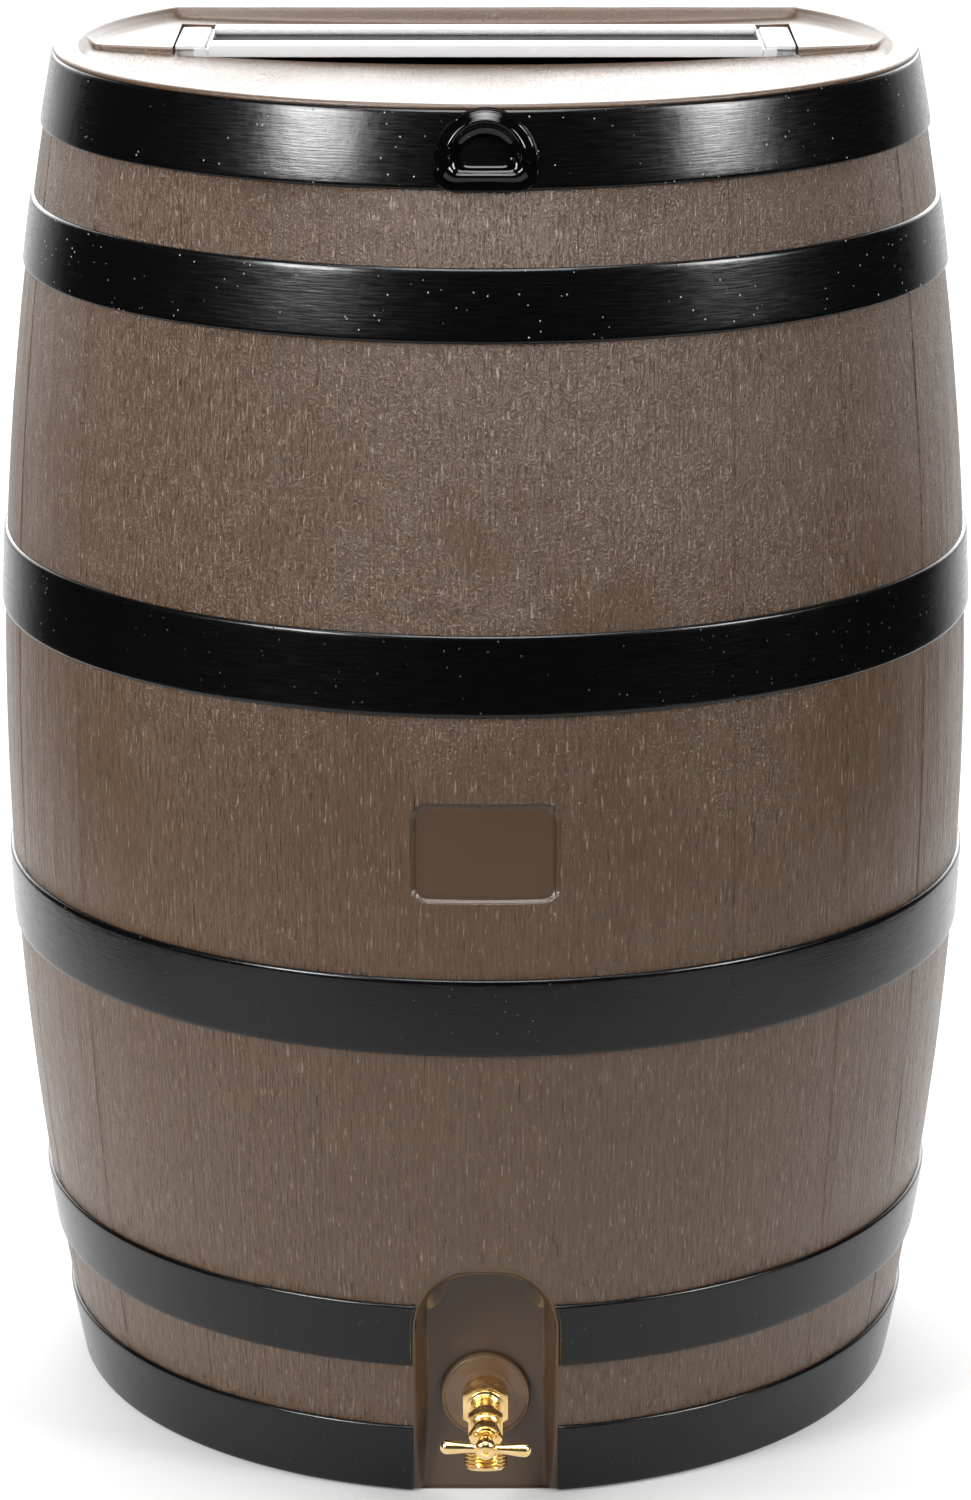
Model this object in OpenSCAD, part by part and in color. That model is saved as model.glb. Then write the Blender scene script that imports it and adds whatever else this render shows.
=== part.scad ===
// Flat-backed rain barrel with moulded hoops, a lift-off mosquito screen,
// a hooded overflow and a brass hose tap in a front alcove.
// Origin: centre of the barrel's round section, on the base. Front is -Y, up is +Z.

/* [Barrel] */
// Height of the barrel
height = 851; // [760:1:950]
// Radius of the staves at mid height
belly_r = 304; // [290:1:330]
// Radius of the staves at the top and the base
end_r = 262.5; // [255:0.5:275]
// Distance from the barrel's axis to the flat back
back_y = 160; // [150:1:170]
// Thickness of the moulded wall
wall = 5; // [4:0.5:6]
// How far the hoops stand proud of the staves
hoop_proud = 2.5; // [1.5:0.1:3]

/* [Top] */
// Width of the flat rim
rim_w = 15; // [12:1:20]
// Depth of the dished front deck below the rim, at its middle
front_drop = 19; // [17:0.5:22]
// Depth of the dished rear deck below the rim, at its middle
rear_drop = 12; // [11:0.5:13]

/* [Screen] */
// Length of the screen over its end caps
screen_l = 385; // [375:1:390]
// Width of the screen over its rails
screen_w = 94; // [88:1:96]
// Height of the rails
rail_h = 8; // [7.5:0.5:9]
// Width of one rail
rail_w = 19; // [17:0.5:20]

/* [Tap] */
// Height of the tap's axis above the base
tap_z = 62.5; // [55:0.5:70]
// Width across the handle's arms
handle_w = 54.6; // [46:0.2:60]
// Radius of the hose thread
hose_r = 13.45; // [13:0.05:13.5]

/* [Hidden] */
$fn = 96;
barrel_fn = 360;
eps = 0.01;
big = 1000;

// Colours
wood_brown = [0.42, 0.36, 0.31];
hoop_black = [0.04, 0.04, 0.045];
brass = [0.80, 0.60, 0.28];
aluminium = [0.85, 0.86, 0.87];
cap_white = [0.90, 0.90, 0.90];
seal_black = [0.08, 0.08, 0.08];

// Hoops, as [bottom, top] pairs mirrored about mid height
end_hoop = [0, 47];
second_hoop = [90, 132];
third_hoop = [298, 346];
function mirrored(h) = [height - h[1], height - h[0]];

// The barrel's side is an arc: its radius at a height
bulge_r = pow(height / 2, 2) / (2 * (belly_r - end_r));
function stave_r(z) = belly_r - pow(z - height / 2, 2) / (2 * bulge_r);
function steps(a, b, n) = [for (i = [0:n - 1]) a + (b - a) * i / n];
lower_z = concat(steps(end_hoop[0], end_hoop[1], 2), steps(end_hoop[1], second_hoop[0], 2),
    steps(second_hoop[0], second_hoop[1], 2), steps(second_hoop[1], third_hoop[0], 4),
    steps(third_hoop[0], third_hoop[1], 2), steps(third_hoop[1], height / 2, 2));
side_z = concat(lower_z, [height / 2],
    [for (i = [len(lower_z) - 1:-1:0]) height - lower_z[i]]);
function side_points(grow, z0, z1) =
    [for (z = side_z) if (z >= z0 - eps && z <= z1 + eps) [stave_r(z) + grow, z]];
function reversed(v) = [for (i = [len(v) - 1:-1:0]) v[i]];

// Top: a front deck and a shallower rear deck, each a dish inside the rim
rim_in_r = end_r - rim_w + 1.5;
rim_back_w = 11;
pocket_floor_r = rim_in_r - 6;
front_edge_drop = 9.5;
rear_edge_drop = 6.5;
deck_wall = 5.5;
function dish(r, drop, edge_drop) =
    height - drop + (drop - edge_drop) * pow(r / pocket_floor_r, 2);

// Screen, which lies in a hole behind the front deck
hole_front = 24;
hole_gap = 1.5;
screen_front = hole_front + 4;
screen_back = screen_front + screen_w;
hole_back = screen_back + hole_gap;
hole_half = screen_l / 2 + hole_gap;
screen_z = height - 15;
ledge_w = 12;
ledge_t = 6;
rail_l = screen_l - 41;
rail_wall = 1.2;
rail_lip = 4;
mesh_rise = 3;
mesh_t = 0.5;
spline_r = 1.6;
cap_pad_w = 19;
cap_pad_l = 75;
cap_pad_t = 3.6;
tenon_fit = 0.1;

// Alcove that holds the tap: a flat floor with an arched top and slightly drafted sides
alcove_y = 254;
alcove_half = 36;
alcove_corner_r = 28;
alcove_top = 147;
alcove_draft = 0.12;
alcove_depth = 60;

// Label recess in the belly
label_w = 85;
label_h = 58;
label_z = 423;
label_depth = 2.5;
label_corner_r = 9;

// Overflow boss in the rim hoop
boss_half = 29;
boss_z0 = height - 47;
boss_z1 = height - 1.5;
boss_rise = 8;
ridge_half = 22;
ridge_z0 = height - 39.5;
ridge_z1 = height - 7.5;
blind_half = 19;
blind_z0 = height - 37;
blind_z1 = height - 9;
blind_floor = 1;

// Tap, measured outward from the alcove's floor
bore_fit = 0.06;
flange_r = 27.4;
flange_t = 5;
fitting_r = 17;
shank_r = 12.9;
collar_s = 5.2;
body_hex_s = 14;
neck_s = 22;
neck_r = 9.2;
seat_s = 24;
chamber_r = 7;
outlet_s = 28;
outlet_tilt = 17;
outlet_l = 34;
outlet_r = 9.4;
thread_l = 13;
bonnet_s = 41.5;
nut_s = 59;
hub_s = 71.5;
arm_s = 79;
hub_end_s = 83;
stem_r = 3.4;
handle_tilt = -2.4;

// ---------- Barrel ----------

module front_of_back(y) {
    translate([-big, -2 * big, -big]) cube([2 * big, 2 * big + y, 3 * big]);
}

module outer_form() {
    intersection() {
        rotate_extrude($fn = barrel_fn)
            polygon(concat([[0, 0]], side_points(0, 0, height), [[0, height]]));
        front_of_back(back_y);
    }
}

module cavity() {
    intersection() {
        rotate_extrude($fn = barrel_fn) polygon(concat(
            [[0, wall], [stave_r(0) - wall, wall]],
            side_points(-wall, wall, height - front_drop),
            [for (i = [8:-1:0]) let (r = i / 8 * (pocket_floor_r + 2))
                [r, dish(r, front_drop, front_edge_drop) - deck_wall]]));
        front_of_back(back_y - wall);
    }
}

module dished_pocket(drop, edge_drop) {
    rotate_extrude($fn = barrel_fn) polygon(concat(
        [for (i = [0:8]) let (r = i / 8 * pocket_floor_r) [r, dish(r, drop, edge_drop)]],
        [[rim_in_r, height], [rim_in_r, height + 1], [0, height + 1]]));
}

module pocket() {
    intersection() {
        dished_pocket(front_drop, front_edge_drop);
        front_of_back(hole_front);
    }
    intersection() {
        dished_pocket(rear_drop, rear_edge_drop);
        front_of_back(back_y - rim_back_w);
    }
}

// An arched slab that stands below the base, with its floor at -y and a widening mouth
module alcove(grow) {
    r = alcove_corner_r + grow;
    centre = alcove_half - alcove_corner_r;
    spring = alcove_top - alcove_corner_r;
    depth = alcove_depth + grow;
    widen = alcove_draft * depth;
    translate([0, grow - alcove_y, 0]) rotate([90, 0, 0]) {
        for (side = [-1, 1]) translate([side * centre, spring, 0])
            cylinder(h = depth, r1 = r, r2 = r + widen, $fn = 64);
        translate([-centre, spring, 0]) rotate([90, 0, 90]) linear_extrude(2 * centre)
            polygon([[-1, 0], [r, 0], [r + widen, depth], [-1, depth]]);
        translate([0, spring, 0]) rotate([90, 0, 0]) linear_extrude(spring + 20)
            polygon([[-centre - r, 0], [centre + r, 0],
                [centre + r + widen, depth], [-centre - r - widen, depth]]);
    }
}

module screen_hole() {
    translate([-hole_half, hole_front, screen_z])
        cube([2 * hole_half, hole_back - hole_front, 40]);
    translate([-hole_half + ledge_w, hole_front, screen_z - 40])
        cube([2 * (hole_half - ledge_w), hole_back - hole_front, 60]);
}

module screen_ledges() {
    for (side = [-1, 1]) translate([side * (hole_half - ledge_w / 2 + 2) - ledge_w / 2 - 2,
        hole_front - 2, screen_z - ledge_t])
        cube([ledge_w + 4, hole_back - hole_front + 4, ledge_t]);
}

module label_recess() {
    intersection() {
        difference() {
            rotate_extrude($fn = barrel_fn) polygon(concat([[0, third_hoop[1]]],
                side_points(10, third_hoop[1], height - third_hoop[1]),
                [[0, height - third_hoop[1]]]));
            rotate_extrude($fn = barrel_fn) polygon(concat([[0, third_hoop[1] - 1]],
                [[stave_r(third_hoop[1]) - label_depth, third_hoop[1] - 1]],
                side_points(-label_depth, third_hoop[1], height - third_hoop[1]),
                [[stave_r(third_hoop[1]) - label_depth, height - third_hoop[1] + 1]],
                [[0, height - third_hoop[1] + 1]]));
        }
        rounded_block(label_w, label_h, label_corner_r, label_z, 250, 330);
    }
}

module rounded_block(w, h, r, z, y0, y1) {
    // A block with rounded corners that runs outward from -y0 to -y1
    translate([0, -y0, z]) rotate([90, 0, 0]) {
        translate([-w / 2 + r, -h / 2, 0]) cube([w - 2 * r, h, y1 - y0]);
        translate([-w / 2, -h / 2 + r, 0]) cube([w, h - 2 * r, y1 - y0]);
        for (x = [-1, 1], y = [-1, 1])
            translate([x * (w / 2 - r), y * (h / 2 - r), 0]) cylinder(h = y1 - y0, r = r, $fn = 48);
    }
}

module moulding() {
    difference() {
        outer_form();
        difference() {
            cavity();
            alcove(wall);
            screen_ledges();
        }
        pocket();
        alcove(0);
        screen_hole();
        label_recess();
        tap_place() rod(-wall - 20, 20, fitting_r);
    }
}

// The moulding's top and the block round its alcove are nodes of their own
module top_block() {
    translate([-big, -big, height - front_drop - deck_wall - 0.5]) cube(2 * big);
}

module alcove_block() {
    half = alcove_half + 14;
    translate([-half, -big, -1]) cube([2 * half, big - alcove_y + wall + 4, alcove_top + 14]);
}

module barrel_shell() {
    color(wood_brown) difference() {
        moulding();
        top_block();
        alcove_block();
    }
}

module barrel_deck() {
    color(wood_brown) intersection() {
        moulding();
        top_block();
    }
}

module barrel_alcove() {
    color(wood_brown) intersection() {
        moulding();
        alcove_block();
    }
}

// A raised hoop that ends at the flat back's edges
module hoop(span) {
    intersection() {
        rotate_extrude($fn = barrel_fn) polygon(concat(
            side_points(0, span[0], span[1]),
            reversed(side_points(hoop_proud, span[0], span[1]))));
        front_of_back(back_y);
    }
}

module hoop_rim() {
    color(hoop_black) difference() {
        hoop(mirrored(end_hoop));
        d_slab(boss_half, boss_z0, boss_z1, 200, 200);
    }
}

module hoop_upper() { color(hoop_black) hoop(mirrored(second_hoop)); }
module hoop_above_belly() { color(hoop_black) hoop(mirrored(third_hoop)); }
module hoop_below_belly() { color(hoop_black) hoop(third_hoop); }

module hoop_lower() {
    color(hoop_black) difference() {
        hoop(second_hoop);
        alcove(0);
    }
}

module hoop_base() {
    color(hoop_black) difference() {
        hoop(end_hoop);
        alcove(0);
    }
}

// ---------- Overflow ----------

// A D that lies on its flat side: a half-round top and two small lower corners
function arc_points(x, z, r, a0, a1, n) =
    [for (i = [0:n]) let (a = a0 + (a1 - a0) * i / n) [x + r * cos(a), z + r * sin(a)]];
function d_points(half, z0, z1, corner_r) = concat(
    arc_points(0, z1 - half, half, 0, 180, 24),
    arc_points(corner_r - half, z0 + corner_r, corner_r, 180, 270, 6),
    arc_points(half - corner_r, z0 + corner_r, corner_r, 270, 360, 6));

module d_slab(half, z0, z1, y, t) {
    translate([0, -y, 0]) rotate([90, 0, 0]) linear_extrude(t)
        polygon(d_points(half, z0, z1, 5));
}

module overflow_boss() {
    front = stave_r(height - 24);
    fit = 0.1;
    color(hoop_black) difference() {
        hull() {
            d_slab(boss_half - fit, boss_z0 + fit, boss_z1 - fit, front - 12, 12 + hoop_proud);
            d_slab(ridge_half, ridge_z0, ridge_z1, front + boss_rise - 1, 1);
        }
        hull() {
            d_slab(blind_half - 3, blind_z0 + 3, blind_z1 - 3, front + blind_floor, 1);
            d_slab(blind_half + 1, blind_z0 - 1, blind_z1 + 1, front + boss_rise, 1);
        }
        outer_form();
    }
}

// ---------- Screen ----------

// Rail profile in [outward, up], with a lip that carries the mesh
module rail_profile() {
    difference() {
        polygon([[-rail_lip, 1.8], [0, 1.8], [0, 0], [rail_w, 0], [rail_w, rail_h - 1],
            [rail_w - 1, rail_h], [1, rail_h], [0, rail_h - 1], [0, 3], [-rail_lip, 3]]);
        translate([rail_wall, rail_wall]) square([rail_w - 2 * rail_wall, rail_h - 2 * rail_wall]);
    }
}

module rail() {
    translate([-rail_l / 2, 0, 0]) rotate([90, 0, 90]) linear_extrude(rail_l) rail_profile();
}

module screen_rail_back() {
    color(aluminium) translate([0, screen_back - rail_w, screen_z]) rail();
}

module screen_rail_front() {
    color(aluminium) translate([0, screen_front + rail_w, screen_z]) rotate([0, 0, 180]) rail();
}

// Right-hand end cap: a web under a bevelled pad, with a tenon in each rail
module screen_cap() {
    half = screen_l / 2;
    web_h = rail_h - cap_pad_t + 0.6;
    tenon_w = rail_w - 2 * (rail_wall + tenon_fit);
    translate([rail_l / 2, screen_front, screen_z]) cube([9, screen_w, web_h]);
    translate([rail_l / 2, screen_front + 4, screen_z])
        cube([half - rail_l / 2 - 1, cap_pad_l - 4, web_h]);
    for (y = [screen_front, screen_back - rail_w])
        translate([rail_l / 2 - 10, y + rail_wall + tenon_fit, screen_z + rail_wall + tenon_fit])
            cube([10 + eps, tenon_w, web_h - rail_wall - tenon_fit]);
    translate([half - cap_pad_w, screen_front + 2, screen_z + web_h - eps])
        bevelled_pad(cap_pad_w, cap_pad_l, cap_pad_t, 1.5);
}

module bevelled_pad(x, y, z, bevel) {
    // The long sides and the front edge are cut back at the top
    intersection() {
        rotate([90, 0, 90]) linear_extrude(x)
            polygon([[0, 0], [y, 0], [y, z], [2 * bevel, z], [0, z - bevel]]);
        translate([0, y, 0]) rotate([90, 0, 0]) linear_extrude(y)
            polygon([[0, 0], [x, 0], [x, z - bevel / 2], [x - bevel / 2, z], [bevel / 2, z], [0, z - bevel / 2]]);
    }
}

module screen_cap_right() { color(cap_white) screen_cap(); }
module screen_cap_left() { color(cap_white) mirror([1, 0, 0]) screen_cap(); }

module screen_mesh() {
    y0 = screen_front + rail_w;
    color(seal_black) translate([-rail_l / 2 + 0.5, y0 + 0.1, screen_z + mesh_rise])
        cube([rail_l - 1, screen_w - 2 * rail_w - 0.2, mesh_t]);
}

// Two round cords that hold the mesh down along the rails
module screen_spline() {
    inset = rail_w + spline_r + 0.05;
    z = screen_z + mesh_rise + mesh_t + spline_r;
    color(seal_black) for (y = [screen_front + inset, screen_back - inset])
        translate([-rail_l / 2 + 1, y, z]) rotate([0, 90, 0])
            cylinder(h = rail_l - 2, r = spline_r, $fn = 32);
}

// ---------- Tap ----------

// Local z runs outward from the alcove's floor, and local y is up
module tap_place() {
    translate([0, -alcove_y, tap_z]) rotate([90, 0, 0]) children();
}

module rod(s0, s1, r) {
    translate([0, 0, s0]) cylinder(h = s1 - s0, r = r);
}

module ring(s0, s1, r_out, r_in) {
    difference() {
        rod(s0, s1, r_out);
        rod(s0 - 1, s1 + 1, r_in);
    }
}

// A hexagon with a corner up, whose corners are turned off at both ends
module hex(s0, s1, across_flats, turn = 0) {
    corner = across_flats / 2 / cos(30);
    flat = across_flats / 2 - 0.3;
    cut = (corner - flat) / 2;
    translate([0, 0, s0]) rotate([0, 0, turn]) intersection() {
        rotate([0, 0, 30]) cylinder(h = s1 - s0, r = corner, $fn = 6);
        rotate_extrude() polygon([[0, 0], [flat, 0], [corner, cut],
            [corner, s1 - s0 - cut], [flat, s1 - s0], [0, s1 - s0]]);
    }
}

// Along the outlet, which leans outward from straight down
module outlet(l0, l1, r) {
    translate([0, 0, outlet_s]) rotate([90 - outlet_tilt, 0, 0])
        translate([0, 0, l0]) cylinder(h = l1 - l0, r = r);
}

module tap_fitting() {
    color(wood_brown) tap_place() difference() {
        union() {
            rod(0, flange_t, flange_r);
            rod(-wall - 10, eps, fitting_r);
        }
        rod(-wall - 11, flange_t + 1, shank_r + bore_fit);
    }
}

module tap_body() {
    color(brass) tap_place() difference() {
        union() {
            rod(-wall - 8, collar_s + eps, shank_r);
            rod(collar_s, body_hex_s + eps, 13.6);
            hex(body_hex_s, neck_s + eps, 27.2);
            rod(neck_s, bonnet_s - 0.1, neck_r);
            outlet(0, outlet_l - thread_l + eps, outlet_r);
            outlet(outlet_l - thread_l, outlet_l, hose_r);
        }
        rod(-wall - 9, seat_s + 1, 5.5);
        rod(seat_s, bonnet_s + 1, chamber_r);
        outlet(0, outlet_l + 1, 6.5);
        outlet(outlet_l - thread_l - 4, outlet_l + 1, 9.2);
    }
}

module tap_bonnet() {
    insert_s = 37;
    packing_s = 52;
    color(brass) tap_place() difference() {
        union() {
            rod(insert_s, bonnet_s + eps, chamber_r - bore_fit);
            hex(bonnet_s, 49, 20.6);
            rod(49 - eps, nut_s - 0.1, 8);
            rod(nut_s - 0.2, nut_s + 4, 7);
        }
        rod(insert_s - 1, nut_s + 5, stem_r + bore_fit);
        rod(packing_s, nut_s + 5, 5.4);
    }
}

module stem_packing() { color(seal_black) tap_place() ring(52, 63, 5.4, stem_r + bore_fit); }

module packing_nut() {
    color(brass) tap_place() difference() {
        hex(nut_s, nut_s + 7, 17.6, 30 - 4);
        rod(nut_s - 1, nut_s + 4.1, 7 + bore_fit);
        rod(nut_s, nut_s + 8, stem_r + bore_fit);
    }
}

module valve_stem() {
    color(brass) tap_place() difference() {
        union() {
            rod(27, 29.5, 6.2);
            rod(29, hub_s + 4, stem_r);
            rod(hub_s + 3, hub_end_s - 2, 2.8);
        }
        rod(26, 34, 1.65);
        rod(hub_end_s - 6, hub_end_s, 1.65);
    }
}

module seat_washer() { color(seal_black) tap_place() ring(seat_s + 0.05, 27, 6.6, 1.7); }

module washer_screw() {
    color(brass) tap_place() {
        rod(seat_s - 2.4, seat_s + 0.05, 3.2);
        rod(seat_s, 32, 1.6);
    }
}

module tee_handle() {
    hub_r = 5.9;
    arm_r = 2.8;
    tip_r = 4.3;
    arm_l = handle_w / 2 - tip_r;
    color(brass) tap_place() rotate([0, 0, handle_tilt]) difference() {
        union() {
            rod(hub_s, arm_s - 3, 4.8);
            rod(arm_s - 4, hub_end_s, hub_r);
            for (side = [-90, 90]) translate([0, 0, arm_s]) rotate([0, side, 0]) {
                cylinder(h = arm_l, r1 = arm_r, r2 = tip_r, $fn = 48);
                translate([0, 0, arm_l]) sphere(r = tip_r, $fn = 48);
            }
        }
        rod(hub_s - 1, hub_s + 4.1, stem_r + bore_fit);
        rod(hub_s, hub_end_s - 1.9, 2.8 + bore_fit);
        rod(hub_s, hub_end_s + 1, 1.7);
    }
}

// Pan-head screw with a cross recess
module handle_screw() {
    head_h = 2.2;
    color(brass) tap_place() difference() {
        union() {
            rod(hub_end_s - 5, hub_end_s + eps, 1.6);
            translate([0, 0, hub_end_s]) cylinder(h = head_h, r1 = 5.2, r2 = 4);
        }
        for (turn = [20, 110]) rotate([0, 0, turn])
            translate([-2.4, -0.5, hub_end_s + head_h - 1.2]) cube([4.8, 1, 3]);
    }
}

barrel_shell();
barrel_deck();
barrel_alcove();
hoop_rim();
hoop_upper();
hoop_above_belly();
hoop_below_belly();
hoop_lower();
hoop_base();
overflow_boss();
screen_rail_front();
screen_rail_back();
screen_cap_left();
screen_cap_right();
screen_mesh();
screen_spline();
tap_fitting();
tap_body();
tap_bonnet();
stem_packing();
packing_nut();
valve_stem();
seat_washer();
washer_screw();
tee_handle();
handle_screw();
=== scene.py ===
"""Looks for the rain barrel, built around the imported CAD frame.

Lengths are in metres, in the CAD frame: +Z is up, the tap faces -Y and the flat back faces +Y.
"""
import math

import bmesh
import bpy
import numpy as np
from mathutils import Matrix, Vector
from mathutils.geometry import delaunay_2d_cdt


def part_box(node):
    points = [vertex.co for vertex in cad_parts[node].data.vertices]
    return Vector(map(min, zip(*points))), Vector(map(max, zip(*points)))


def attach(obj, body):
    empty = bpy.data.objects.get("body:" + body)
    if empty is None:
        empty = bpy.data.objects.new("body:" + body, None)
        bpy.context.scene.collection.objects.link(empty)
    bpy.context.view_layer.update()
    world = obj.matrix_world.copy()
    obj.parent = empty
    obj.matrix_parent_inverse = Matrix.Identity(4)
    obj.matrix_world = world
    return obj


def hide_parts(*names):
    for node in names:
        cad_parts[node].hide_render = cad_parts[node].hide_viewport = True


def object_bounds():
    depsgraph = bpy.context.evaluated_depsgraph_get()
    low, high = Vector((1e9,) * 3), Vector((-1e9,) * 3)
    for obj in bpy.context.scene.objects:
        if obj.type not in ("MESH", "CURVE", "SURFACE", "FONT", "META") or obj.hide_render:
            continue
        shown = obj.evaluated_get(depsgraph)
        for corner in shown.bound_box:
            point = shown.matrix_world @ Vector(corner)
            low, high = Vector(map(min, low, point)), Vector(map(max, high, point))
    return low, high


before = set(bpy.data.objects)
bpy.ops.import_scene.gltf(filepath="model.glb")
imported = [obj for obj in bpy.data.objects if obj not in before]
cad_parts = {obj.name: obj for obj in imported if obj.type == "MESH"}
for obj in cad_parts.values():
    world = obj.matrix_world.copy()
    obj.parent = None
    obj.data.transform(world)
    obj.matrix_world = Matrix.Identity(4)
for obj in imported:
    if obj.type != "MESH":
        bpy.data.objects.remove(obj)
cad_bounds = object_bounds()

MM = 0.001

# ---------- Sizes that come from the frame ----------

HEIGHT = cad_bounds[1][2]
BACK = cad_bounds[1][1]
BELLY_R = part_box("barrel_shell")[1].x
MID = HEIGHT / 2
HOOP_PROUD = 2.5 * MM
END_R = 262.5 * MM
BULGE_R = MID ** 2 / (2 * (BELLY_R - END_R))
WALL = 5 * MM

rail_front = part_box("screen_rail_front")
rail_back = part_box("screen_rail_back")
cap_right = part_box("screen_cap_right")
HOLE_HALF = cap_right[1].x + 1.5 * MM
HOLE_FRONT = rail_front[0].y - 4 * MM
HOLE_BACK = rail_back[1].y + 1.5 * MM
SCREEN_Z = rail_front[0].z
LEDGE_X = HOLE_HALF - 12 * MM

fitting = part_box("tap_fitting")
TAP_Z = (fitting[0].z + fitting[1].z) / 2
FLANGE_R = (fitting[1].z - fitting[0].z) / 2
FLANGE_T = 5 * MM
ALCOVE_Y = -(fitting[0].y + FLANGE_T)

# ---------- Sizes of the moulded shell ----------

CORNER_R = 14 * MM
RIM_R = END_R + 2.3 * MM
RIM_IN_R = 249 * MM
RIM_IN_BACK = BACK - 11 * MM
FLOOR_R = 243 * MM
FLOOR_BACK = RIM_IN_BACK - 2.5 * MM
FRONT_DECK = (19 * MM, 9.5 * MM)
REAR_DECK = (12 * MM, 6.5 * MM)

ALCOVE_HALF = 35 * MM
ALCOVE_CORNER = 27.5 * MM
ALCOVE_TOP = 140.5 * MM
ALCOVE_RUN = 8.5 * MM
ALCOVE_CROWN_RUN = 8 * MM

LABEL_HALF = (42.5 * MM, 29 * MM)
LABEL_Z = 423 * MM
LABEL_R = 9 * MM
LABEL_DEPTH = 2.5 * MM

# The flat back's relief as a share of the front's, and the joints' depth between staves
BACK_RELIEF = 0.35
SEAM_DEPTH = 0.55 * MM

SEAM_DEGREES = (-103, -87, -71, -53.5, -36.5, -18.7, -0.6, 10.8, 28.6, 45, 61, 78, 94, 107)


def stave_r(z):
    return BELLY_R - (z - MID) ** 2 / (2 * BULGE_R)


def smooth(t):
    t = np.clip(t, 0, 1)
    return t * t * (3 - 2 * t)


def value_noise(u, v, cell_u, cell_v, seed):
    """Smooth noise from -1 to 1 on a lattice of random values, with its own cell size each way."""
    table = np.random.default_rng(seed).uniform(-1, 1, (256, 256))
    x = np.asarray(u) / cell_u
    y = np.asarray(v) / cell_v
    i, j = np.floor(x).astype(int), np.floor(y).astype(int)
    fx, fy = smooth(x - i), smooth(y - j)
    low = table[i % 256, j % 256] * (1 - fx) + table[(i + 1) % 256, j % 256] * fx
    high = table[i % 256, (j + 1) % 256] * (1 - fx) + table[(i + 1) % 256, (j + 1) % 256] * fx
    return low * (1 - fy) + high * fy


# ---------- Mesh building ----------

def placed(points, matrix):
    """Points moved by a 4 x 4 matrix."""
    m = np.array(matrix)
    return np.asarray(points) @ m[:3, :3].T + m[:3, 3]


def linked(name, data):
    """A new object in the scene, made from a mesh, lamp or camera."""
    made = bpy.data.objects.new(name, data)
    bpy.context.scene.collection.objects.link(made)
    return made


class Builder:
    """Collects points and faces with UVs and a point attribute, then makes one mesh object."""

    def __init__(self):
        self.points = []
        self.masks = []
        self.count = 0
        self.faces = []
        self.uvs = []

    def add(self, points, mask=1.0):
        """Adds points and returns their indices."""
        points = np.asarray(points, float).reshape(-1, 3)
        self.points.append(points)
        self.masks.append(np.broadcast_to(mask, (len(points),)).astype(float))
        first = self.count
        self.count += len(points)
        return np.arange(first, self.count)

    def grid(self, index, uv, closed=False):
        """Quads between the rows of an index grid; uv has one more column when the grid is closed."""
        right = np.roll(index, -1, axis=1) if closed else index[:, 1:]
        left = index if closed else index[:, :-1]
        quads = np.stack([left[:-1], right[:-1], right[1:], left[1:]], -1)
        uv_left, uv_right = uv[:, :-1], uv[:, 1:]
        corners = np.stack([uv_left[:-1], uv_right[:-1], uv_right[1:], uv_left[1:]], -2)
        self.faces.append(quads.reshape(-1, 4))
        self.uvs.append(corners.reshape(-1, 4, 2))

    def tube(self, rings):
        """Quads between closed rings of points, on a surface that needs no UVs."""
        rings = np.array(rings)
        self.grid(rings, np.zeros((len(rings), rings.shape[1] + 1, 2)), closed=True)

    def triangles(self, faces, uv):
        self.faces.append(np.asarray(faces).reshape(-1, 3))
        self.uvs.append(np.asarray(uv).reshape(-1, 3, 2))

    def fan(self, ring_index, centre, flip=False):
        """Closes a ring of points onto a new point at its centre."""
        middle = self.add(centre)[0]
        faces = np.stack([ring_index, np.roll(ring_index, -1), np.full(len(ring_index), middle)], -1)
        if flip:
            faces = faces[:, ::-1]
        self.triangles(faces, np.zeros((len(faces), 3, 2)))

    def build(self, name, sharp_degrees, mirror=1, outward=True):
        """One mesh object; mirror -1 swaps left and right, and outward turns every shell's faces out."""
        points = np.concatenate(self.points) * (mirror, 1, 1)
        mesh = bpy.data.meshes.new(name)
        loops = np.concatenate([f.reshape(-1) for f in self.faces])
        sizes = np.concatenate([np.full(len(f), f.shape[1]) for f in self.faces])
        mesh.vertices.add(len(points))
        mesh.vertices.foreach_set("co", points.astype(np.float32).reshape(-1))
        mesh.loops.add(len(loops))
        mesh.loops.foreach_set("vertex_index", loops.astype(np.int32))
        mesh.polygons.add(len(sizes))
        starts = np.concatenate([[0], np.cumsum(sizes)[:-1]])
        mesh.polygons.foreach_set("loop_start", starts.astype(np.int32))
        mesh.polygons.foreach_set("use_smooth", np.ones(len(sizes), bool))
        uv_layer = mesh.uv_layers.new(name="grain")
        uvs = np.concatenate([u.reshape(-1, 2) for u in self.uvs])
        uv_layer.data.foreach_set("uv", uvs.astype(np.float32).reshape(-1))
        attribute = mesh.attributes.new("grain_and_shade_mask", "FLOAT", "POINT")
        attribute.data.foreach_set("value", np.concatenate(self.masks).astype(np.float32))
        mesh.update(calc_edges=True)
        mesh.validate()
        mesh.set_sharp_from_angle(angle=math.radians(sharp_degrees))
        if outward:
            bm = bmesh.new()
            bm.from_mesh(mesh)
            bmesh.ops.recalc_face_normals(bm, faces=bm.faces)
            bm.to_mesh(mesh)
            bm.free()
        return linked(name, mesh)


def stand_for(piece, body, slot, material, *nodes):
    """A finished piece: its material, the body it rides on, and the CAD nodes it replaces."""
    piece.data.materials.clear()
    piece.data.materials.append(material)
    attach(piece, body)
    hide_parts(*nodes)


# ---------- Shader nodes ----------

def rgb(r, g, b):
    return (r, g, b, 1.0)


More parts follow.
